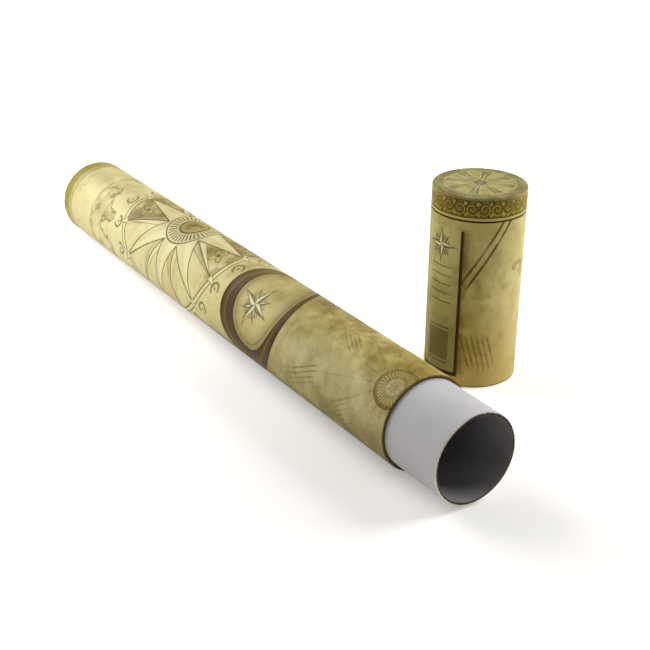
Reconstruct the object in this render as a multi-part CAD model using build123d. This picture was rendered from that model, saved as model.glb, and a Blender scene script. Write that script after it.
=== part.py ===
"""Printed board mailing tube for rolled sheets, lying down, with its cap standing beside it.

Lengths are in millimetres. The long tube lies along X with its open mouth towards +X.
The cap stands mouth down on the +Y side. Z = 0 is the surface that both of them lie on.
"""
from build123d import *
import os

os.makedirs("parts", exist_ok=True)

# Long tube: a printed board tube with a bare sleeve glued inside it
tube_diameter = 60.0
board_wall = 2.0
body_length = 444.5
neck_length = 45.5
liner_wall = 2.0
lip_round = 1.2
mouth_break = 0.4
cut_break = 0.3

# Cap: the same printed board, which slides over the neck as far as the shoulder
cap_height = 129.0
lead_in = 0.7

# End covers: pressed card cups, one on the far end of the tube and one on top of the cap
cover_card = 0.6
cover_round = 1.5
bend_inside = 0.5
skirt_depth = 15.0
joint_groove = 0.8

# Clearances
slip_gap = 0.15
glue_line = 0.05

# Where the cap stands, from the middle of the tube's mouth
cap_behind_mouth = 131.5
cap_beside_tube = 104.0

# The most that a broken edge may take of its wall, outside and inside
outer_share = 0.6
inner_share = 0.3

# Radii that follow
tube_radius = tube_diameter / 2
neck_radius = tube_radius - board_wall
mouth_radius = neck_radius - liner_wall
body_bore = neck_radius + glue_line
cap_bore = neck_radius + slip_gap
skirt_bore = tube_radius - cover_card
seat_radius = skirt_bore - glue_line

# Edges that follow
lip = min(lip_round, outer_share * liner_wall)
lip_inside = min(mouth_break, inner_share * liner_wall)
cut_edge = min(cut_break, inner_share * board_wall)
cap_lead = min(lead_in, outer_share * (tube_radius - cap_bore))
seat_edge = min(bend_inside, outer_share * (seat_radius - cap_bore))

# Places that follow, with the middle of the whole outline at X = 0, Y = 0
overall_length = body_length + neck_length
mouth_x = overall_length / 2
far_x = -overall_length / 2
tube_y = -cap_beside_tube / 2
cap_x = mouth_x - cap_behind_mouth
cap_y = cap_beside_tube / 2

# Frames whose Z runs along each axis, from the closed end out of the mouth
along_tube = Plane(origin=(far_x, tube_y, tube_radius), x_dir=(0, 0, 1), z_dir=(1, 0, 0))
down_cap = Plane(origin=(cap_x, cap_y, cap_height), x_dir=(1, 0, 0), z_dir=(0, 0, -1))


def section(*points):
    """A closed flat outline in the XZ plane, X being the radius and Z the height."""
    with BuildSketch(Plane.XZ) as outline:
        with BuildLine():
            Polyline(*points, close=True)
        make_face()
    return outline.sketch


def corner_at(sketch, radius, height):
    """The corner of a section that lies nearest a radius and a height."""
    return sketch.vertices().sort_by_distance((radius, 0, height))[0]


def covered_tube(bore, length):
    """A board tube whose closed end, at Z = 0, is turned down for a cover's skirt.

    The turned stretch is a little longer than the skirt, which leaves a fine groove
    between the skirt's rim and the print.
    """
    top = cover_card
    groove_end = skirt_depth + joint_groove
    wall = section(
        (bore, top),
        (seat_radius, top),
        (seat_radius, groove_end),
        (tube_radius, groove_end),
        (tube_radius, length),
        (bore, length),
    )
    wall = chamfer(corner_at(wall, seat_radius, top), seat_edge)
    return chamfer(corner_at(wall, tube_radius, length), cut_edge)


def body_tube():
    """The printed tube, from its closed end to the shoulder that stops the cap."""
    return revolve(covered_tube(body_bore, body_length), axis=Axis.Z)


def neck_liner():
    """The sleeve inside the body, whose front end stands out of it as the neck."""
    wall = section(
        (mouth_radius, cover_card),
        (neck_radius, cover_card),
        (neck_radius, overall_length),
        (mouth_radius, overall_length),
    )
    wall = fillet(corner_at(wall, neck_radius, overall_length), lip)
    wall = chamfer(corner_at(wall, mouth_radius, overall_length), lip_inside)
    return revolve(wall, axis=Axis.Z)


def cap_tube():
    """The short printed tube of the cap, with a lead-in at its mouth."""
    wall = covered_tube(cap_bore, cap_height)
    wall = chamfer(corner_at(wall, cap_bore, cap_height), cap_lead)
    return revolve(wall, axis=Axis.Z)


def end_cover():
    """A shallow cup pressed from card: a flat disc, a soft shoulder and a straight skirt."""
    outer = section((0, 0), (tube_radius, 0), (tube_radius, skirt_depth), (0, skirt_depth))
    outer = fillet(corner_at(outer, tube_radius, 0), cover_round)
    hollow = section((0, cover_card), (skirt_bore, cover_card), (skirt_bore, skirt_depth), (0, skirt_depth))
    hollow = chamfer(corner_at(hollow, skirt_bore, cover_card), seat_edge)
    return revolve(outer - hollow, axis=Axis.Z)


nodes = {
    "body_tube": along_tube * body_tube(),
    "neck_liner": along_tube * neck_liner(),
    "body_end_cover": along_tube * end_cover(),
    "cap_tube": down_cap * cap_tube(),
    "cap_end_cover": down_cap * end_cover(),
}

for name, solid in nodes.items():
    export_step(solid, f"parts/{name}.step")
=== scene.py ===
import math

import bpy
from mathutils import Matrix, Vector


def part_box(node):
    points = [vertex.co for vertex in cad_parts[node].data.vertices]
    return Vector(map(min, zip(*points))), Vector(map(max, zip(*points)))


# Looks of a printed board mailing tube and its cap: old-chart print, bare paper and cut board.
# Lengths in the scene are metres. The print is laid out in millimetres on the unrolled board.

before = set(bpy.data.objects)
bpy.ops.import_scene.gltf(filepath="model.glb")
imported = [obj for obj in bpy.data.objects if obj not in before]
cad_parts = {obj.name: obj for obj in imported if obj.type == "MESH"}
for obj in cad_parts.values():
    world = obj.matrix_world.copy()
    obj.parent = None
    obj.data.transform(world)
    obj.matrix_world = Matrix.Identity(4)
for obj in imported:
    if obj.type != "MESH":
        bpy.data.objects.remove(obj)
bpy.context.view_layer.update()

MM = 0.001
TURN = 2 * math.pi

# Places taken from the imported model
body_low, body_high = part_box("body_tube")
liner_low, liner_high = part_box("neck_liner")
cap_low, cap_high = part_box("cap_tube")
cap_cover_low, cap_cover_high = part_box("cap_end_cover")
closed_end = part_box("body_end_cover")[0].x
tube_axis = (body_low + body_high) / 2
cap_axis = (cap_low + cap_high) / 2
tube_radius = (body_high.z - body_low.z) / 2 / MM
neck_radius = (liner_high.z - liner_low.z) / 2 / MM
skirt_depth = (cap_cover_high.z - cap_cover_low.z) / MM
cap_height = (cap_cover_high.z - cap_low.z) / MM
shoulder_at = (body_high.x - closed_end) / MM
mouth_at = (liner_high.x - closed_end) / MM
half_girth = math.pi * tube_radius

# Layers of the model: the cover's card, the sleeve's wall, and depths below the printed surface
card = 0.6
liner_wall = 2.0
print_depth = 0.4
bore_depth = 1.0
sleeve_depth = 1.5
mouth_radius = neck_radius - liner_wall

# The photograph's camera, in metres, degrees and millimetres of lens
camera_place = Vector((0.6903, -0.4465, 0.3913))
camera_heading = 146.40
camera_pitch = -25.56
camera_roll = 0.53
camera_lens = 70.67
sensor = 36.0

# The cap's print is laid out from the side that the camera sees, at this azimuth
cap_facing = math.radians(-40.8)

# Gloss of the paper, and the shares of fine grain and of slow waviness in its relief
paper_gloss = 0.08
grain_share = 0.4
wave_share = 1.8

# Studio: half the floor's side, the room's fill, and the floor's glow round the tube's shadow
floor_half = 6.0
room_fill = 0.22
shadow_place = (0.3, -0.15, 0)
glow_starts = 0.1
glow_full = 0.8
least_glow = 0.3
added_glow = 0.6


def shade(red, green, blue):
    """A colour written as it looks on screen, for a socket that takes linear light."""
    channels = []
    for value in (red, green, blue):
        level = value / 255
        channels.append(level / 12.92 if level <= 0.04045 else ((level + 0.055) / 1.055) ** 2.4)
    return (*channels, 1.0)


# Papers
cream = shade(250, 240, 178)
warm_cream = shade(255, 246, 206)
straw = shade(217, 198, 118)
sage = shade(190, 184, 126)
olive_tan = shade(166, 145, 74)
old_olive = shade(116, 96, 36)
liner_white = shade(206, 203, 205)
liner_shadow = shade(190, 188, 192)
bore_grey = shade(150, 146, 149)
cut_board = shade(52, 44, 26)
ply_brown = shade(112, 92, 48)
card_back = shade(170, 156, 116)
pale_board = shade(226, 214, 166)
lip_highlight_white = shade(250, 246, 230)
cap_foot = shade(190, 158, 72)
cap_head = shade(198, 189, 122)
label_pale = shade(208, 202, 134)
label_dark = shade(124, 114, 56)
label_block = shade(84, 77, 32)
disc_olive = shade(118, 109, 56)
cap_skirt = shade(142, 120, 34)
# Paler copy of cap_skirt: painted highlight on the closed end's cover.
far_skirt_lit = shade(208, 198, 98)
floor_white = shade(243, 240, 235)

# Inks
pale_ink = shade(252, 244, 186)
line_ink = shade(76, 57, 12)
brown_ink = shade(96, 62, 12)
umber = shade(108, 80, 22)
dark_ink = shade(34, 20, 4)
curl_ink = shade(196, 178, 78)
rule_ink = shade(212, 199, 122)
cap_scroll = shade(38, 28, 0)
# Paler copy of cap_scroll: painted highlight on the closed end's cover.
far_scroll_lit = shade(124, 112, 36)


def feed(slot, value):
    """Sets a socket to a plain value, or links it to a field."""
    if isinstance(value, Field):
        slot.id_data.links.new(value.socket, slot)
    else:
        slot.default_value = value


class Field:
    """A number that varies over a surface: a socket of a node tree, with ordinary arithmetic."""

    def __init__(self, socket):
        self.socket = socket

    def combine(self, operation, *others):
        """The math node's result for this field and the values that follow."""
        node = self.socket.id_data.nodes.new("ShaderNodeMath")
        node.operation = operation
        for slot, value in zip(node.inputs, (self, *others)):
            feed(slot, value)
        return Field(node.outputs[0])

    def __add__(self, other):
        return self.combine("ADD", other)

    def __sub__(self, other):
        return self.combine("SUBTRACT", other)

    def __rsub__(self, other):
        return self.combine("MULTIPLY_ADD", -1.0, other)

    def __mul__(self, other):
        return self.combine("MULTIPLY", other)

    def __truediv__(self, other):
        return self.combine("DIVIDE", other)

    def __pow__(self, other):
        return self.combine("POWER", other)

    def __abs__(self):
        return self.combine("ABSOLUTE")

    def fraction(self):
        return self.combine("FRACT")

    def sine(self):
        return self.combine("SINE")

    def cosine(self):
        return self.combine("COSINE")

    def larger(self, other):
        return self.combine("MAXIMUM", other)

    def rise(self, low, high):
        """0 at low and 1 at high, with a smooth step between. It falls where low is above high."""
        node = self.socket.id_data.nodes.new("ShaderNodeMapRange")
        node.interpolation_type = "SMOOTHSTEP"
        feed(node.inputs["Value"], self)
        node.inputs["From Min"].default_value = low
        node.inputs["From Max"].default_value = high
        return Field(node.outputs["Result"])

    def above(self, soft=0.3):
        """1 where the field is above zero, with a soft edge."""
        return self.rise(-soft, soft)

    def below(self, soft=0.3):
        """1 where the field is below zero, with a soft edge."""
        return self.rise(soft, -soft)

    def within(self, low, high, soft=0.3):
        """1 between low and high, with soft ends."""
        return self.rise(low - soft, low + soft) * self.rise(high + soft, high - soft)

    def stroke(self, width, soft=0.3):
        """1 where the field is nearer to zero than half a line's width."""
        return abs(self).rise(width / 2 + soft, width / 2 - soft)

    def repeat(self, pitch):
        """The signed distance from the middle of the cell of a row of cells."""
        return ((self / pitch).fraction() - 0.5) * pitch


def length_of(one, other):
    return (one * one + other * other) ** 0.5


def angle_of(opposite, adjacent):
    return opposite.combine("ARCTAN2", adjacent)


def from_spoke(angle, count, turn=0.0):
    """The signed angle from the nearest of some evenly spaced spokes, in radians."""
    step = TURN / count
    return ((angle / step + (0.5 - turn / step)).fraction() - 0.5) * step


def spoke_share(angle, count):
    """How far off the nearest spoke is: 0 on it, and 0.5 midway between two."""
    return abs(from_spoke(angle, count)) / (TURN / count)


class Sheet:
    """The node tree of one material, whose colour is built up ink by ink.

    along and girth are millimetres on the unrolled board, angle and radius go round the axis.
    """

    def __init__(self, name, ground):
        self.material = bpy.data.materials.new(name)
        self.material.use_nodes = True
        self.tree = self.material.node_tree
        self.shader = self.tree.nodes["Principled BSDF"]
        self.place = self.tree.nodes.new("ShaderNodeTexCoord").outputs["Object"]
        tone = self.tree.nodes.new("ShaderNodeRGB")
        tone.outputs[0].default_value = ground
        self.colour = tone.outputs[0]

    def axes(self, origin):
        """East, north and up from a point of the row frame, in millimetres."""
        split = self.tree.nodes.new("ShaderNodeSeparateXYZ")
        self.tree.links.new(self.place, split.inputs[0])
        return [(Field(socket) - start) / MM for socket, start in zip(split.outputs, origin)]

    def roll(self, along, ahead, aside):
        """Rolls the sheet round an axis, with its middle line on the side that lies ahead."""
        self.along = along
        self.angle = angle_of(aside, ahead)
        self.radius = length_of(aside, ahead)
        self.girth = self.angle * tube_radius

    def noise(self, size, detail=3.0, roughness=0.55):
        """Soft random patches of about the given size in millimetres, mostly from 0.3 to 0.7."""
        node = self.tree.nodes.new("ShaderNodeTexNoise")
        self.tree.links.new(self.place, node.inputs["Vector"])
        node.inputs["Scale"].default_value = 1 / (size * MM)
        node.inputs["Detail"].default_value = detail
        node.inputs["Roughness"].default_value = roughness
        return Field(node.outputs["Fac"])

    def mottling(self):
        """The medium patches that wear the print on both tubes."""
        return self.noise(13, detail=4.0, roughness=0.62)

    def ink(self, amount, colour):
        """Lays a colour over what is there, as thickly as the amount says, held to 0 to 1."""
        node = self.tree.nodes.new("ShaderNodeMix")
        node.data_type = "RGBA"
        feed(node.inputs["Factor"], amount)
        base, cover = (slot for slot in node.inputs if slot.type == "RGBA")
        self.tree.links.new(self.colour, base)
        cover.default_value = colour
        self.colour = next(slot for slot in node.outputs if slot.type == "RGBA")

    def finish(self, roughness, depth=0.05):
        """Joins colour, gloss and the board's relief, of a depth in millimetres."""
        grain = self.noise(0.5, detail=2.0)
        wave = self.noise(16, detail=2.0)
        bump = self.tree.nodes.new("ShaderNodeBump")
        bump.inputs["Distance"].default_value = depth * MM
        feed(bump.inputs["Height"], grain * grain_share + wave * wave_share)
        self.tree.links.new(bump.outputs[0], self.shader.inputs["Normal"])
        self.tree.links.new(self.colour, self.shader.inputs["Base Color"])
        feed(self.shader.inputs["Roughness"], roughness)
        self.shader.inputs["Specular IOR Level"].default_value = paper_gloss
        return self.material


def tube_sheet(name, ground):
    """A sheet rolled round the long tube: from its closed end, and from the top towards -Y."""
    sheet = Sheet(name, ground)
    east, north, up = sheet.axes((closed_end, tube_axis.y, tube_axis.z))
    sheet.roll(east, up, north * -1)
    return sheet


def cap_sheet(name, ground):
    """A sheet rolled round the cap: from the floor, and from the side that the camera sees."""
    sheet = Sheet(name, ground)
    east, north, up = sheet.axes((cap_axis.x, cap_axis.y, cap_low.z))
    ahead = east * math.cos(cap_facing) + north * math.sin(cap_facing)
    aside = north * math.cos(cap_facing) - east * math.sin(cap_facing)
    sheet.roll(up, ahead, aside)
    return sheet


class Spot:
    """Flat coordinates about a point of the unrolled print, straight and polar.

    The point is given as millimetres along the board and round its girth.
    """

    def __init__(self, sheet, at):
        along, girth = at
        self.across = sheet.along - along
        self.up = sheet.girth - girth
        self.radius = length_of(self.across, self.up)
        self.angle = angle_of(self.up, self.across)

    def turned(self, slope):
        """The distance along a line through the point, at a slope in radians, and off that line."""
        run = self.across * math.cos(slope) + self.up * math.sin(slope)
        side = self.up * math.cos(slope) - self.across * math.sin(slope)
        return run, side

    def ring(self, radius, width, soft=0.3):
        """1 on the line of a circle."""
        return (self.radius - radius).stroke(width, soft)


def parchment(sheet, age, blotches=1.0):
    """Mottled old paper, from cream to olive as the age field goes from 0 to 1.

    Returns its medium patches, by which the print on it is worn.
    """
    broad = sheet.noise(46, detail=2.0)
    patches = sheet.mottling()
    specks = sheet.noise(2.0, roughness=0.6)
    sheet.ink(age * 0.95 + (broad - 0.5) * 0.8 + 0.1, straw)
    sheet.ink(broad.rise(0.45, 0.62) * age * 0.55, sage)
    sheet.ink((age + (patches - 0.5) * 1.6).rise(0.3, 1.3) * 0.95, olive_tan)
    sheet.ink(patches.rise(0.5, 0.74) * (age * 0.45 + 0.12) * blotches, old_olive)
    sheet.ink(patches.rise(0.48, 0.3) * broad.rise(0.62, 0.4) * 0.25 * blotches, warm_cream)
    sheet.ink(specks.rise(0.58, 0.74) * (age * 0.25 + 0.1), old_olive)
    steepness = 70
    creases = (sheet.noise(26, roughness=0.6) - 0.5) * steepness
    sheet.ink(creases.stroke(0.5, 0.7) * patches.rise(0.42, 0.6) * 0.4, old_olive)
    return patches


def unworn(patches):
    """1 where the print keeps its full strength, and 0 where it is most worn."""
    return patches.rise(0.3, 0.6)


def ray_sides(spot, count, turn, reach, slope):
    """Distances from the nearest ray's middle, and from its straight edge, negative inside it.

    The slope is a ray's half width for each millimetre from its tip.
    """
    off = from_spoke(spot.angle, count, turn)
    aside = off.sine() * spot.radius
    return aside, abs(aside) - (reach - off.cosine() * spot.radius) * slope


def rose_rays(sheet, spot, patches, hub, reach):
    """Eight broad rays over eight slim two-tone ones, with petals in the dark gaps at both ends."""
    disc = spot.radius.within(hub, reach, 0.4)
    broad_aside, broad_edge = ray_sides(spot, count=8, turn=0, reach=reach, slope=0.19)
    slim_aside, slim_edge = ray_sides(spot, count=8, turn=TURN / 16, reach=reach, slope=0.13)
    broad = broad_edge.below() * disc
    slim = slim_edge.below() * (1 - broad) * disc
    gap = disc * (1 - broad) * (1 - slim)
    endward = abs(spot.across / spot.radius).rise(0.88, 0.94)
    sheet.ink(gap * endward * 0.3, straw)
    sheet.ink(gap * patches.rise(0.3, 0.62) * (endward * 0.66 + 0.12), old_olive)
    sheet.ink(slim * slim_aside.below() * 0.5, pale_ink)
    sheet.ink(slim * slim_aside.above() * (endward * 0.3 + patches * 0.3 + 0.1), old_olive)
    sheet.ink(broad * 0.94, pale_ink)
    sheet.ink(broad * broad_aside.above() * (patches * 0.3 + 0.03), olive_tan)

    flowers = 16
    flower_at = reach - 16
    flower_radius = 5.4
    petal_depth = 2.1
    round_flower = from_spoke(spot.angle, flowers, TURN / flowers / 2) * spot.radius
    out_of_flower = spot.radius - flower_at
    from_flower = length_of(round_flower, out_of_flower)
    waves = (angle_of(round_flower, out_of_flower) * 4).sine()
    petals = from_flower - flower_radius - waves * petal_depth
    sheet.ink(petals.below() * gap * endward * 0.6, straw)
    sheet.ink(petals.stroke(1.1) * gap * endward * 0.8, line_ink)
    sheet.ink(from_flower.rise(2.3, 1.5) * gap * endward * 0.8, line_ink)

    strength = patches * 0.6 + 0.5
    sheet.ink(broad_edge.stroke(1.1) * disc * strength, line_ink)
    sheet.ink(slim_edge.stroke(0.7) * (1 - broad) * disc * strength * 0.7, line_ink)
    sheet.ink(slim_aside.stroke(1.0) * slim * strength, line_ink)


def rose_ring(sheet, spot, reach):
    """The pale ring round the rays, with arrowheads on it and open curls outside it."""
    ring_width = 3.6
    tips = 16
    tip_height = 8
    tip_slope = 0.25
    outer = spot.radius.rise(reach - 1.5, reach - 0.5)
    tip = abs(from_spoke(spot.angle, tips)) * spot.radius
    tip = tip - ((reach + tip_height) - spot.radius) * tip_slope
    sheet.ink(spot.ring(reach + ring_width / 2, ring_width) * 0.5, pale_ink)
    sheet.ink(spot.ring(reach, 1.1) * 0.8, line_ink)
    sheet.ink(spot.ring(reach + ring_width, 1.0) * 0.75, line_ink)
    sheet.ink(tip.rise(0.1, -0.3) * outer * 0.9, pale_ink)
    sheet.ink((tip - 0.3).stroke(0.7) * outer * 0.6, line_ink)

    curls = 24
    curl_radius = 4.2
    curl_at = reach + 11
    round_curl = from_spoke(spot.angle, curls, TURN / curls / 2) * spot.radius
    out_of_curl = spot.radius - curl_at
    from_curl = length_of(round_curl, out_of_curl)
    opening = (round_curl + out_of_curl).rise(5.0, 2.5)
    sheet.ink((from_curl - curl_radius).stroke(1.7, 0.6) * opening * 0.75, line_ink)
    sheet.ink(from_curl.rise(1.6, 0.6) * 0.6, line_ink)


def rose_hub(sheet, spot, patches, hub):
    """The rose's middle: a ticked ring round a brown disc."""
    ticks = spoke_share(spot.angle, count=36).rise(0.3, 0.2)
    ticked = spot.radius.within(hub * 0.58, hub * 0.92, 0.5)
    sheet.ink((spot.radius - hub).below() * 0.5, pale_ink)
    sheet.ink(ticks * ticked * 0.8, line_ink)
    sheet.ink(spot.ring(hub, 1.3) * 0.85, line_ink)
    sheet.ink(spot.radius.rise(hub * 0.54, hub * 0.44) * 0.75, olive_tan)
    sheet.ink(spot.radius.rise(hub * 0.5, hub * 0.1) * patches.rise(0.35, 0.6) * 0.8, brown_ink)
    sheet.ink(spot.ring(hub * 0.5, 1.8) * 0.9, line_ink)
    sheet.ink(spot.ring(hub * 0.26, 0.8) * 0.6, line_ink)


def compass_rose(sheet, patches, at, hub, reach):
    """A traditional compass rose: sixteen rays inside a ring, round a hub."""
    spot = Spot(sheet, at)
    rose_rays(sheet, spot, patches, hub, reach)
    rose_ring(sheet, spot, reach)
    rose_hub(sheet, spot, patches, hub)


def rosette(sheet, patches, at, outer, bearings):
    """A small ticked ring round an eight-pointed star, where thin bearing lines cross."""
    spot = Spot(sheet, at)
    line_reach = 120
    line_turn = 0.06
    star_slope = 0.25
    strength = patches.rise(0.35, 0.6)
    line = from_spoke(spot.angle, bearings, line_turn) * spot.radius
    fade = spot.radius.rise(line_reach, outer * 1.5) * spot.radius.rise(outer, outer + 1)
    sheet.ink(line.stroke(0.4, 0.45) * fade * (strength * 0.45 + 0.15), line_ink)
    band = spot.radius.within(outer * 0.5, outer, 0.4)
    sheet.ink(spot.radius.rise(outer, outer - 1.5) * 0.3, sage)
    sheet.ink(band * (strength * 0.4 + 0.4), umber)
    teeth = spoke_share(spot.angle, count=32).rise(0.36, 0.16)
    teeth = teeth * spot.radius.within(outer * 0.55, outer * 0.84, 0.7)
    sheet.ink(teeth * (unworn(patches) * 0.5 + 0.25), straw)
    sheet.ink(spot.ring(outer, 0.8, 0.5) * (patches * 0.5 + 0.3), line_ink)
    sheet.ink(spot.ring(outer * 0.46, 0.8, 0.5) * 0.6, line_ink)
    star = abs(from_spoke(spot.angle, count=8)) * spot.radius
    star = star - (outer * 0.4 - spot.radius) * star_slope
    sheet.ink(star.below(0.9) * (patches * 0.6 + 0.15), umber)


def small_star(sheet, spot, reach, turn):
    """Four long two-tone rays over four short ones, on a double ring."""
    short_reach = reach * 0.72
    sheet.ink((abs(spot.radius - reach * 0.5) - 0.8).stroke(0.6) * 0.7, line_ink)
    for length, start in ((short_reach, turn + TURN / 8), (reach, turn)):
        aside, edge = ray_sides(spot, count=4, turn=start, reach=length, slope=0.2)
        ray = edge.below(0.2)
        sheet.ink(ray * 0.9, pale_ink)
        sheet.ink(ray * aside.above(0.2) * 0.75, line_ink)
        sheet.ink(edge.stroke(0.6) * 0.8, line_ink)


def medallion(sheet, at, half_along, half_across):
    """An oval panel in a brown ribbon, broad on one side, with an eight-pointed star in it."""
    spot = Spot(sheet, at)
    panel_along = half_along - 8.5
    panel_across = half_across - 9.5
    panel_shift = (4, -7.5)
    shine_depth = 5
    rule_depth = 3.2
    outside = (length_of(spot.across / half_along, spot.up / half_across) - 1) * half_along
    panel_radius = length_of(
        (spot.across - panel_shift[0]) / panel_along,
        (spot.up - panel_shift[1]) / panel_across,
    )
    inside = (panel_radius - 1) * panel_along
    panel = inside.below(0.5)
    ribbon = outside.below(0.5) * inside.above(0.5)
    sheet.ink(panel * 0.4, straw)
    sheet.ink(panel * 0.2, pale_board)
    sheet.ink(inside.rise(-12, 0) * panel * 0.5, old_olive)
    sheet.ink(ribbon * 0.9, brown_ink)
    sheet.ink(ribbon * spot.up.rise(-36, -8) * 0.55, dark_ink)
    sheet.ink(ribbon * (outside + shine_depth).stroke(1.6, 1.6) * 0.4, olive_tan)
    sheet.ink(outside.stroke(1.4) * 0.9, dark_ink)
    sheet.ink(inside.stroke(1.2) * 0.9, dark_ink)
    sheet.ink((inside + rule_depth).stroke(0.6) * 0.6, line_ink)
    small_star(sheet, spot, reach=17, turn=0.3)


def hatching(sheet, patches, at, size, slope, pitch, width, soft=0.45):
    """A patch of short soft strokes with ragged ends, as on an engraved hillside."""
    length, breadth = size
    raggedness = length * 0.14
    run, side = Spot(sheet, at).turned(slope)
    ragged = run + (side * 1.7).sine() * raggedness
    patch = side.within(-breadth / 2, breadth / 2, 1.0)
    patch = patch * ragged.within(-length / 2, length / 2, 2.0)
    strokes = side.repeat(pitch).stroke(width, soft)
    sheet.ink(strokes * patch * (unworn(patches) * 0.4 + 0.2), line_ink)


def coasts(sheet, amount):
    """Engraved coastlines with a shaded shore: the level lines of slow noise."""
    sea_level = 0.52
    steepness = 60
    level = (sheet.noise(40, detail=4.0) - sea_level) * steepness
    sheet.ink(level.stroke(1.0, 0.6) * amount * 0.65, line_ink)
    sheet.ink(level.rise(5, 0) * level.above(0.5) * amount * 0.35, old_olive)


def tube_chart(sheet, patches):
    """The old chart on the long tube, with its fold, a pale strip and the seam under the back."""
    behind = abs(sheet.girth + 62).rise(46, 38)
    shore = sheet.along.within(54, 92, 4).larger(behind * sheet.along.within(262, 430, 8) * 0.7)
    coasts(sheet, shore)
    fold_at = 52
    fold = sheet.along - fold_at
    sheet.ink(fold.rise(7, 0) * fold.above() * patches.rise(0.35, 0.6) * 0.5, olive_tan)
    sheet.ink(fold.stroke(0.8, 0.5) * patches.rise(0.3, 0.55) * 0.6, line_ink)
    pale_strip = sheet.girth.within(24, 48, 10) * sheet.along.rise(285, 335)
    sheet.ink(pale_strip * patches.rise(0.75, 0.35) * 0.42, pale_board)

    rosette(sheet, patches, at=(437, 17.5), outer=14, bearings=18)
    compass_rose(sheet, patches, at=(172, 0), hub=21.5, reach=70)
    medallion(sheet, at=(293, 24), half_along=34.5, half_across=47.5)
    hatching(sheet, patches, at=(404, 50), size=(15, 16), slope=2.6, pitch=3.0, width=0.9)
    hatching(sheet, patches, at=(362, 44), size=(26, 12), slope=-0.45, pitch=3.2, width=0.9)
    hatching(sheet, patches, at=(384, 8), size=(16, 10), slope=0.5, pitch=2.4, width=1.3)
    rosette(sheet, patches, at=(352, -62), outer=14, bearings=16)
    hatching(sheet, patches, at=(300, -48), size=(20, 14), slope=0.4, pitch=3.0, width=1.1)
    hatching(sheet, patches, at=(405, -58), size=(18, 16), slope=2.4, pitch=3.0, width=1.0)

    overlap = 6
    lap = (sheet.girth - (half_girth - overlap)).stroke(0.4, 0.2)
    sheet.ink(lap * 0.5, line_ink)


def stains_and_painted_shade(sheet, patches):
    """Painted shade with some aged print: darker over the top and back, along the foot and beside the
    compass rose.
    """
    # Top and back darker: painted shade, strongest towards the closed end, partly darker aged print.
    aged_and_shaded_top = sheet.girth.rise(25, 6) * sheet.girth.rise(-70, -30)
    sheet.ink(aged_and_shaded_top * (patches * 0.4 + sheet.along.rise(240, 60) * 0.12 + 0.16), old_olive)
    # Foot darker towards the floor: painted shade, partly darker print.
    foot = sheet.girth.rise(54, 74)
    sheet.ink(foot * (patches * 0.35 + 0.36), old_olive)
    # Low front side near the shoulder darker: painted shade, partly a dark blotch of the print.
    shaded_low_side = sheet.girth.rise(20, 50) * sheet.along.rise(350, 420)
    sheet.ink(shaded_low_side * (patches * 0.35 + 0.06), old_olive)
    # A dark line along the foot of the middle of the tube: painted shadow where it meets the floor.
    foot_shadow_reach = sheet.along.rise(215, 245) - sheet.along.rise(290, 350) * 0.35
    sheet.ink(sheet.girth.rise(57, 71) * foot_shadow_reach * (patches * 0.3 + 0.5), line_ink)
    # Top edge beside the compass rose darker: painted shade, partly dark ornament.
    shaded_top_by_rose = sheet.girth.rise(2, -16) * sheet.girth.rise(-60, -34)
    shaded_top_by_rose = shaded_top_by_rose * sheet.along.within(190, 262, 16)
    sheet.ink(shaded_top_by_rose * (patches * 0.6 + 0.2), old_olive)


def raw_board(sheet, depth):
    """1 from a depth below the printed surface, in millimetres, where the board is bare."""
    return (tube_radius - sheet.radius).rise(depth - 0.1, depth)


def board_roughness(patches, raw):
    """Satin print, a little duller in its patches, and dull where the board is bare."""
    return patches * 0.14 + raw * 0.35 + 0.42


def printed_tube():
    """The long tube's print, its turned-down end, its cut front edge and its bore."""
    sheet = tube_sheet("printed_tube", cream)
    age = sheet.along.rise(190, 345) * 0.8 + sheet.along.rise(395, 444) * 0.25
    age = age + sheet.along.rise(34, 14) * 0.25
    patches = parchment(sheet, age)
    sheet.ink(sheet.angle.rise(0.1, 1.0) * sheet.along.rise(290, 360) * 0.5, sage)
    tube_chart(sheet, patches)
    stains_and_painted_shade(sheet, patches)
    # Painted shade: the lower side darker towards the floor, over the near half.
    shaded_underside = abs(sheet.angle).rise(1.2, 2.0) * sheet.along.rise(200, 400)
    sheet.ink(shaded_underside * (patches.rise(0.25, 0.6) * 0.3 + 0.15), old_olive)

    fibres = sheet.noise(1.4, roughness=0.6)
    edge = sheet.along.rise(shoulder_at - 0.9, shoulder_at - 0.2)
    sheet.ink(edge * (fibres.rise(0.4, 0.6) * 0.4 + 0.2), cut_board)
    raw = raw_board(sheet, print_depth)
    sheet.ink(raw, pale_board)
    front = sheet.along.rise(shoulder_at - 0.05, shoulder_at)
    sheet.ink(front, ply_brown)
    sheet.ink(front * raw_board(sheet, sleeve_depth), cut_board)
    return sheet.finish(board_roughness(patches, raw))


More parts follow.
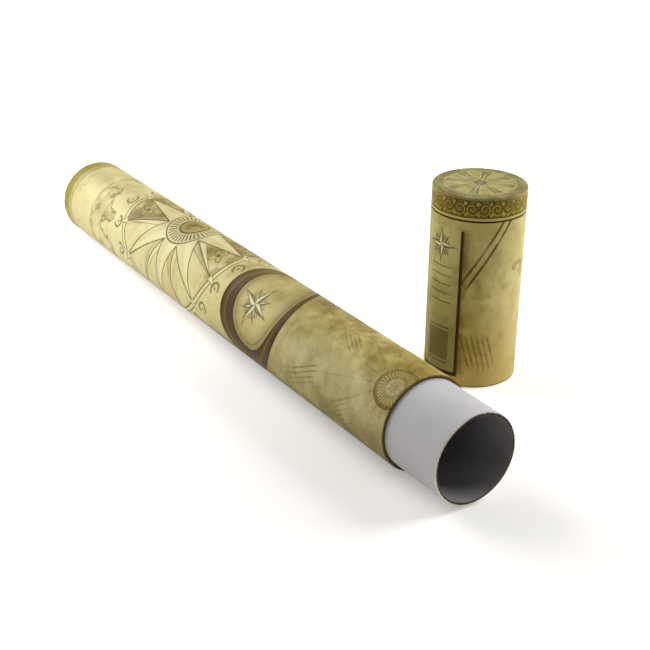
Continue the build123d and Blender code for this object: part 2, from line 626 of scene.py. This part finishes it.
def label_panel(sheet, patches):
    """A bare label on the cap: a framed field with a small star, ruled lines and a plain block."""
    left = -39.5
    right = -8.8
    bottom = 8.0
    top = 107.0
    height = sheet.along
    field = sheet.girth.within(left, right, 0.2) * height.within(bottom, top, 0.2)
    sheet.ink(field * 0.7, label_pale)
    sheet.ink(field * height.rise(80, 20) * 0.7, label_dark)
    sheet.ink(field * patches.rise(0.45, 0.65) * 0.3, old_olive)

    block_middle = 27
    block_half = 13
    inward = sheet.girth.within(left + 7, right - 6, 0.4)
    rule_pitch = 6
    rules = height.repeat(rule_pitch).stroke(0.9) * height.within(54, 82, 0.5)
    block = height.within(block_middle - block_half, block_middle + block_half, 0.5)
    block_rules = (abs(height - block_middle) - (block_half - 2)).stroke(0.8)
    sheet.ink(rules * inward * 0.65, line_ink)
    sheet.ink(inward * block * (patches * 0.5 + 0.4), label_block)
    sheet.ink(inward * block_rules * 0.5, rule_ink)
    small_star(sheet, Spot(sheet, at=(95, (left + right) / 2)), reach=11, turn=0.0)

    right_side = (sheet.girth - right).stroke(2.2) * height.within(bottom - 1, top, 0.6)
    left_side = (sheet.girth - left).stroke(0.8) * height.within(bottom, top)
    foot = (height - bottom).stroke(2.4) * sheet.girth.within(left, right + 1)
    sheet.ink(right_side.larger(left_side).larger(foot) * 0.95, dark_ink)
    beside = sheet.girth.rise(right + 7, right + 1) * (sheet.girth - right).above(0.5)
    beside = beside * height.within(bottom, top, 3)
    sheet.ink(beside * (unworn(patches) * 0.35 + 0.35), brown_ink)


def printed_cap():
    """The cap's print, with its bare label panel, its cut rim and its grey bore."""
    sheet = cap_sheet("printed_cap", cream)
    # Painted light: the print is paler round one side, where light falls on the cap.
    painted_lit_side = abs(sheet.angle - 1.3).rise(1.5, 0.4)
    age = sheet.along.rise(20, 90) * 0.1 + 0.74 - painted_lit_side * 0.32
    patches = parchment(sheet, age, blotches=0.45)
    sheet.ink(sheet.along.rise(70, 20) * 0.5, cap_foot)
    sheet.ink(sheet.along.rise(50, 95) * 0.3, cap_head)
    coasts(sheet, abs(sheet.girth).rise(44, 50) * 0.6)
    coasts(sheet, Spot(sheet, at=(79, 33)).radius.rise(9, 7))

    between = Spot(sheet, at=(92, 6.5)).turned(math.radians(31))[1]
    two_lines = (abs(between) - 2.2).stroke(1.5, 0.6) * sheet.along.rise(64, 74)
    sheet.ink(two_lines * (unworn(patches) * 0.4 + 0.55), line_ink)
    hatching(sheet, patches, at=(25, 5), size=(22, 20), slope=-0.28, pitch=3.3, width=1.3, soft=0.9)
    label_panel(sheet, patches)

    sheet.ink(sheet.along.rise(1.8, 0.4) * 0.6, old_olive)
    raw = raw_board(sheet, print_depth)
    sheet.ink(raw, cut_board)
    sheet.ink(raw_board(sheet, bore_depth), bore_grey)
    return sheet.finish(board_roughness(patches, raw))


def cover_disc(sheet, depth, patches, line):
    """Pale outlined rays with needles between them on a cover's disc, inside a pale ring."""
    count = 8
    turn = 0.2
    ring_radius = 22.4
    needle_half = 0.9
    rayed = sheet.radius.within(4.2, 21.5, 0.5)
    needled = sheet.radius.rise(18, 16)
    ray = abs(from_spoke(sheet.angle, count, turn))
    sheet.ink(sheet.radius.rise(23, 21) * 0.18, olive_tan)
    sheet.ink(ray.rise(0.21, 0.14) * rayed * (patches * 0.5 + 0.05), rule_ink)
    sheet.ink((ray - 0.2).stroke(0.05, 0.03) * rayed * (patches * 0.6 + 0.2), pale_board)
    sheet.ink((ray - 0.27).stroke(0.03, 0.03) * rayed * (patches * 0.6 + 0.1), line)
    needle = abs(from_spoke(sheet.angle, count, turn + TURN / count / 2)) * sheet.radius
    sheet.ink((needle - needle_half).stroke(0.6) * needled * 0.45, line)
    sheet.ink(needle.rise(0.8, 0.4) * needled * 0.4, pale_board)
    ring = (sheet.radius - ring_radius).stroke(1.0, 0.5) * depth.rise(1.0, 0.5)
    sheet.ink(ring * (patches * 0.6 + 0.1), pale_board)
    sheet.ink(sheet.radius.rise(4.6, 3.4) * 0.6, brown_ink)


def cover_scrolls(sheet, depth, patches, front, line):
    """A border of scrolls, waves and leaves round a cover's skirt, with a painted sheen at the two
    sides that pales its ink and lightens the shoulder above it.
    """
    cells = 24
    cell = TURN * tube_radius / cells
    pitch = 2.5
    wave_height = 4.6
    border_middle = 7.2
    spot = sheet.girth.repeat(cell)
    mirrored = (sheet.girth / cell / 2).fraction().rise(0.499, 0.501) * 2 - 1
    middle = depth - border_middle
    curl_radius = length_of(spot, middle)
    turns = curl_radius / pitch - angle_of(spot * mirrored, middle) / TURN
    curl = (turns.fraction() - 0.5) * pitch
    wave = middle - (sheet.girth * (TURN / cell / 2)).sine() * wave_height
    near = curl_radius.rise(4.7, 4.2)
    leaf = length_of(abs(spot) - cell / 2, abs(middle) - 3.6) - 1.2
    leaf = leaf - (angle_of(spot, middle) * 6).sine() * 0.4

    broad_curl = curl.stroke(2.0) * near
    broad_wave = wave.stroke(2.0) * (1 - near)
    broad = broad_curl.larger(broad_wave).larger(leaf.rise(1.2, 0.6))
    fine_curl = curl.stroke(0.8) * near
    fine_wave = wave.stroke(0.8) * (1 - near)
    fine = fine_curl.larger(fine_wave).larger(leaf.rise(0.3, -0.1))
    band = depth.within(1.9, 12.6)
    # Painted sheen: the border's ink paler and the shoulder lighter at right angles to front.
    side_sheen = abs(from_spoke(sheet.angle, 2, front)).rise(0.4, 1.3) * 0.5
    sheet.ink(broad * band * (0.74 - side_sheen), line)
    sheet.ink(depth.within(0.5, 3.2, 0.6) * side_sheen, straw)
    sheet.ink(fine * band * (unworn(patches) * 0.5 + 0.35), curl_ink)
    sheet.ink((abs(middle) - 5.3).stroke(0.5) * 0.5, line)


def cover_print(sheet, depth, front, ground, line, rim):
    """A pressed end cover, printed on its disc and its skirt. Returns its roughness.

    The depth is measured from the disc along the skirt, and front is the angle where the
    border's ink is fullest; at right angles to it a painted sheen pales the border.
    """
    patches = sheet.noise(7, detail=4.0, roughness=0.65)
    sheet.ink(patches.rise(0.35, 0.75) * 0.5, sage)
    cover_disc(sheet, depth, patches, line)

    rule_at = 13.7
    skirt = depth.rise(1.2, 2.6)
    sheet.ink(skirt * depth.rise(1.5, 5.5) * 0.45 + skirt * 0.4, ground)
    sheet.ink(skirt * patches.rise(0.45, 0.7) * 0.3, line)
    cover_scrolls(sheet, depth, patches, front, line)
    sheet.ink((depth - rule_at).stroke(1.4, 0.2) * 0.9, rule_ink)
    # The skirt's lowest edge takes the rim colour: on the cap, a dark painted shade of the gap
    # beneath the skirt over its cut edge; on the closed end, bare card.
    sheet.ink(depth.rise(skirt_depth - 0.35, skirt_depth - 0.1), rim)

    back = raw_board(sheet, card) * depth.rise(card - 0.1, card)
    sheet.ink(back, card_back)
    return patches * 0.16 + 0.4


def far_cover():
    """The cover on the tube's closed end: the cap cover's print in paler colours, a painted
    highlight, with extra dark mottles.
    """
    sheet = tube_sheet("far_cover_print", olive_tan)
    depth = sheet.along
    # Paler skirt and scroll colours than the cap's: painted highlight on the same print.
    roughness = cover_print(sheet, depth, front=0.8, ground=far_skirt_lit, line=far_scroll_lit, rim=card_back)
    sheet.ink(sheet.noise(5, roughness=0.6).rise(0.5, 0.62) * 0.45, old_olive)
    sheet.ink(depth.rise(8, 14) * 0.6, pale_board)
    stains_and_painted_shade(sheet, sheet.mottling())
    return sheet.finish(roughness)


def cap_cover():
    """The cover on top of the cap."""
    sheet = cap_sheet("cap_cover_print", disc_olive)
    depth = cap_height - sheet.along
    roughness = cover_print(sheet, depth, front=0, ground=cap_skirt, line=cap_scroll, rim=dark_ink)
    return sheet.finish(roughness)


def bare_liner():
    """Pale paper outside, grey board inside with a wound seam, and a cut end of brown plies."""
    sheet = tube_sheet("bare_liner", liner_white)
    clouds = sheet.noise(18)
    fibres = sheet.noise(1.2, roughness=0.6)
    sheet.ink(clouds.rise(0.35, 0.7) * 0.3, liner_shadow)
    sheet.ink(fibres.rise(0.55, 0.75) * 0.2, liner_shadow)
    inside = sheet.radius.rise(mouth_radius + 0.5, mouth_radius + 0.1)
    sheet.ink(inside, bore_grey)
    sheet.ink(inside * clouds.rise(0.3, 0.7) * 0.3, cut_board)
    seam_lead = 120
    seam_turn = 0.2
    seam = (sheet.along / seam_lead - sheet.angle / TURN + seam_turn).repeat(1) * seam_lead
    sheet.ink(seam.stroke(0.4) * 0.2, cut_board)

    cut_depth = 0.35
    raggedness = 0.7
    ply = 0.5
    ragged = sheet.along + (fibres - 0.5) * raggedness
    cut = (ragged - (mouth_at - cut_depth)).above(0.15)
    plies = (sheet.radius / ply).repeat(1).stroke(0.2, 0.15)
    sheet.ink(cut, cut_board)
    sheet.ink(cut * plies * 0.2, old_olive)
    inner_edge = sheet.radius.rise(mouth_radius + 0.5, mouth_radius + 0.3)
    sheet.ink(cut * inner_edge * fibres.rise(0.4, 0.6) * 0.6, card_back)
    chips = sheet.noise(2.6, detail=2.0).rise(0.54, 0.6)
    chips = chips * sheet.radius.rise(neck_radius - 0.9, neck_radius - 0.5)
    sheet.ink(cut * chips * 0.6, pale_board)

    # Painted highlight: a near-white line on the lip, on the side where light falls.
    highlit_lip = sheet.radius.rise(neck_radius - 0.95, neck_radius - 0.8)
    highlit_lip = highlit_lip * sheet.along.rise(mouth_at - 1.0, mouth_at - 0.7)
    lit_lip_side = abs(sheet.angle - 1.45).rise(1.4, 0.9)
    sheet.ink(highlit_lip * lit_lip_side * (fibres.rise(0.35, 0.5) * 0.4 + 0.5), lip_highlight_white)
    return sheet.finish(inside * 0.1 + 0.5, depth=0.04)


def assign(node, material):
    """Makes a material the only one of a node of the model."""
    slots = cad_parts[node].data.materials
    slots.clear()
    slots.append(material)


def seen_directly(tree):
    """1 for what is seen straight, in a mirror or through glass, and 0 for light on objects."""
    path = tree.nodes.new("ShaderNodeLightPath")
    camera = Field(path.outputs["Is Camera Ray"])
    mirrored = Field(path.outputs["Is Glossy Ray"])
    through = Field(path.outputs["Is Transmission Ray"])
    return camera.larger(mirrored).larger(through)


def floor_material():
    """Matt white, with a glow in direct views that is least where the tube's shadow lies."""
    material = bpy.data.materials.new("floor_white")
    material.use_nodes = True
    tree = material.node_tree
    tree.nodes.remove(tree.nodes["Principled BSDF"])
    diffuse = tree.nodes.new("ShaderNodeBsdfDiffuse")
    diffuse.inputs["Color"].default_value = floor_white
    glow = tree.nodes.new("ShaderNodeEmission")
    away = tree.nodes.new("ShaderNodeVectorMath")
    away.operation = "DISTANCE"
    away.inputs[1].default_value = shadow_place
    tree.links.new(tree.nodes.new("ShaderNodeTexCoord").outputs["Object"], away.inputs[0])
    far = Field(away.outputs["Value"]).rise(glow_starts, glow_full)
    feed(glow.inputs["Strength"], seen_directly(tree) * (far * added_glow + least_glow))
    both = tree.nodes.new("ShaderNodeAddShader")
    tree.links.new(diffuse.outputs[0], both.inputs[0])
    tree.links.new(glow.outputs[0], both.inputs[1])
    tree.links.new(both.outputs[0], tree.nodes["Material Output"].inputs["Surface"])
    return material


def studio_floor():
    """A plain white floor. Straight views of it are lifted to white, and its shadows stay."""
    low = -floor_half
    high = floor_half
    corners = [(low, low, 0), (high, low, 0), (high, high, 0), (low, high, 0)]
    mesh = bpy.data.meshes.new("floor")
    mesh.from_pydata(corners, [], [(0, 1, 2, 3)])
    floor = bpy.data.objects.new("floor", mesh)
    bpy.context.scene.collection.objects.link(floor)
    floor.data.materials.append(floor_material())


def surroundings(fill):
    """An even white room: strength 1 where it is seen, and a plain fill where it only lights."""
    world = bpy.data.worlds.new("room")
    bpy.context.scene.world = world
    world.use_nodes = True
    background = world.node_tree.nodes["Background"]
    background.inputs["Color"].default_value = (1, 1, 1, 1)
    feed(background.inputs["Strength"], seen_directly(world.node_tree) * (1 - fill) + fill)


def softbox(name, place, aim, size, power):
    """A square lamp that faces a point, in metres and watts."""
    lamp = bpy.data.lights.new(name, "AREA")
    lamp.shape = "SQUARE"
    lamp.size = size
    lamp.energy = power
    holder = bpy.data.objects.new(name, lamp)
    holder.location = place
    holder.rotation_euler = (Vector(aim) - Vector(place)).to_track_quat("-Z", "Y").to_euler()
    bpy.context.scene.collection.objects.link(holder)


def photo_camera():
    """The camera of the photograph, as fitted to the edges of the tube and the cap."""
    heading = math.radians(camera_heading)
    pitch = math.radians(camera_pitch)
    level = Vector((math.cos(heading), math.sin(heading), 0)) * math.cos(pitch)
    ahead = level + Vector((0, 0, math.sin(pitch)))
    data = bpy.data.cameras.new("camera")
    data.lens = camera_lens
    data.sensor_width = sensor
    data.clip_end = 50
    camera = bpy.data.objects.new("camera", data)
    turn = ahead.to_track_quat("-Z", "Y").to_matrix().to_4x4()
    roll = Matrix.Rotation(math.radians(camera_roll), 4, "Z")
    camera.matrix_world = Matrix.Translation(camera_place) @ turn @ roll
    bpy.context.scene.collection.objects.link(camera)
    bpy.context.scene.camera = camera


assign("body_tube", printed_tube())
assign("cap_tube", printed_cap())
assign("body_end_cover", far_cover())
assign("cap_end_cover", cap_cover())
assign("neck_liner", bare_liner())

studio_floor()
surroundings(room_fill)
softbox("back_light", place=(0.5, 1.05, 0.9), aim=(0.1, 0, 0.03), size=0.8, power=15)
softbox("end_light", place=(-0.75, -0.4, 0.7), aim=(-0.2, -0.05, 0.03), size=0.8, power=9.5)
photo_camera()
bpy.context.scene.view_settings.view_transform = "Standard"
